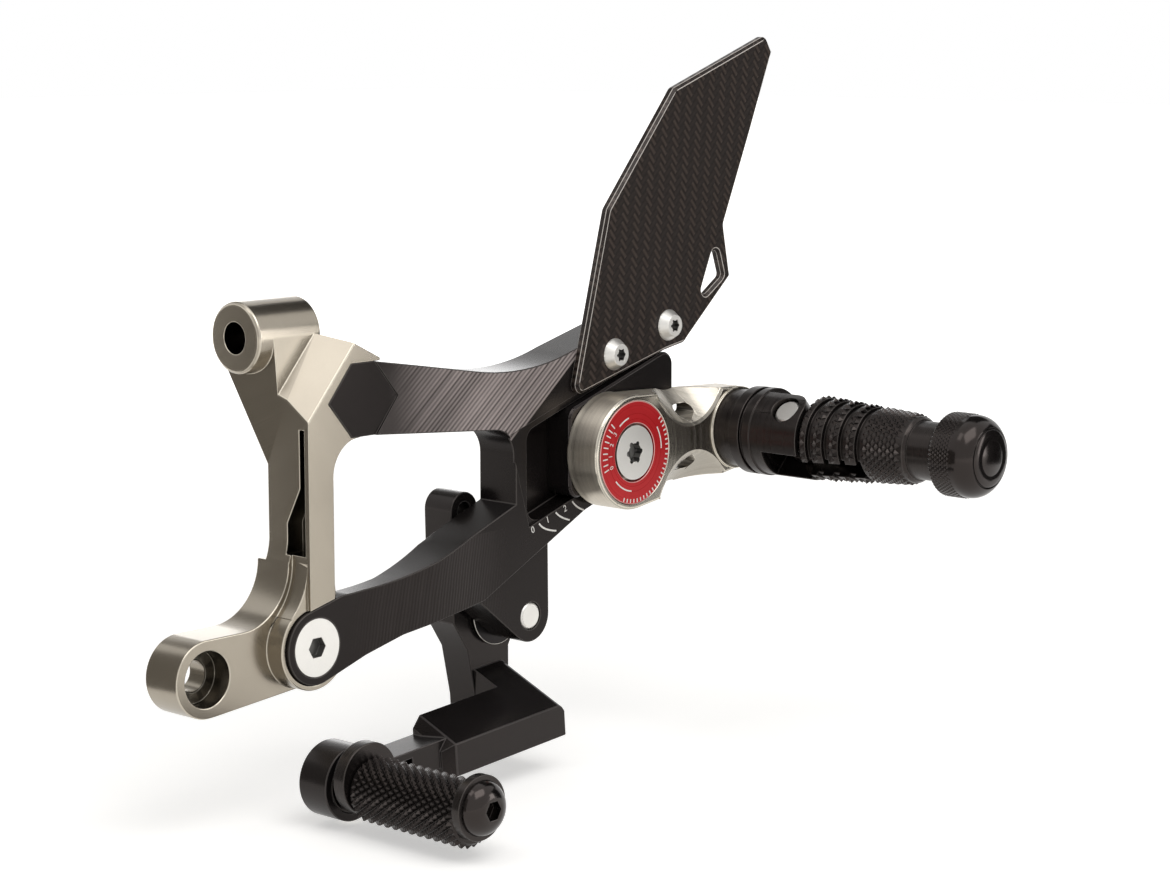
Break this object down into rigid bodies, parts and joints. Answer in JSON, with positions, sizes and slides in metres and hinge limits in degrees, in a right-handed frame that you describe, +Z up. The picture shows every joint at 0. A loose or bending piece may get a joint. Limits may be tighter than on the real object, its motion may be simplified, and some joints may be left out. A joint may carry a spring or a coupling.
{
  "type": "motorcycle rearset footrest",
  "caption": "Motorcycle rearset: leaning bracket and wishbone plate with a sliding hub arm, folding ribbed foot peg, heel guard and stepped shift lever with an eccentric toe peg.",
  "frame": {"origin": "centre of the lower frame bolt's bore, on the bracket face that seats on the motorcycle's frame", "axes": "+X rearward along the motorcycle, +Y inboard towards the frame and along the lower bolt's bore, +Z up"},
  "size_m": [0.227, 0.1393, 0.2095],
  "materials": {
    "bracket_anodised": "satin titanium-grey anodising",
    "black_anodised": "satin black anodising",
    "grey_anodised": "satin dark grey anodising",
    "red_anodised": "satin red anodising",
    "bright_steel": "bright, lightly turned",
    "black_steel": "black oxide",
    "spring_steel": "drawn wire",
    "carbon_sheet": "woven carbon fibre under clear lacquer",
    "bush_bronze": "turned bronze"
  },
  "bodies": {
    "bracket": {"frame_bracket": "bracket_anodised", "wishbone_plate": "black_anodised", "lower_arm_screw": "bright_steel", "upper_arm_screw": "bright_steel", "heel_guard": "carbon_sheet", "heel_guard_screws": "bright_steel", "lever_pivot_pin": "bright_steel", "thrust_washers": "bright_steel"},
    "slider": {"peg_slider": "black_anodised", "slider_clamp_screws": "black_steel", "slider_clamp_washers": "bright_steel", "hub_bolt": "bright_steel"},
    "hub": {"peg_hub": "grey_anodised", "index_ring": "red_anodised", "peg_base": "black_anodised", "peg_base_bolt": "black_steel", "hinge_pin": "bright_steel"},
    "peg": {"foot_peg": "black_anodised", "peg_end_cap": "black_anodised", "end_cap_stud": "black_steel", "peg_spring": "spring_steel"},
    "lever": {"shift_lever": "black_anodised", "lever_bush": "bush_bronze", "pinch_screw": "black_steel", "toe_lock_screw": "bright_steel"},
    "toe_peg": {"toe_peg_base": "black_anodised", "toe_peg_sleeve": "black_anodised", "toe_peg_collar": "black_anodised", "toe_peg_screw": "black_steel"}
  },
  "joints": [
    {"name": "adjuster_slide", "type": "slide", "parent": "bracket", "child": "slider", "axis": [0.9511, 0, 0.309], "range_m": [-0.0152, 0]},
    {"name": "hub_clocking", "type": "hinge", "parent": "slider", "child": "hub", "pos_m": [0.1406, -0.03, 0.046], "axis": [0, -1, 0], "range_deg": [-40, 20]},
    {"name": "peg_fold", "type": "hinge", "parent": "hub", "child": "peg", "pos_m": [0.18754, -0.0619, 0.04838], "axis": [-0.7071, 0, 0.7071], "range_deg": [0, 70], "stiffness_Nm_per_rad": 0.12, "springref_deg": -28.65},
    {"name": "lever_pivot", "type": "hinge", "parent": "bracket", "child": "lever", "pos_m": [0.1124, 0, 0.0002], "axis": [0, -1, 0], "range_deg": [-7, 7]},
    {"name": "toe_peg_clocking", "type": "hinge", "parent": "lever", "child": "toe_peg", "pos_m": [0.0382, -0.021, -0.03301], "axis": [0, -1, 0], "range_deg": [-90, 90]}
  ]
}
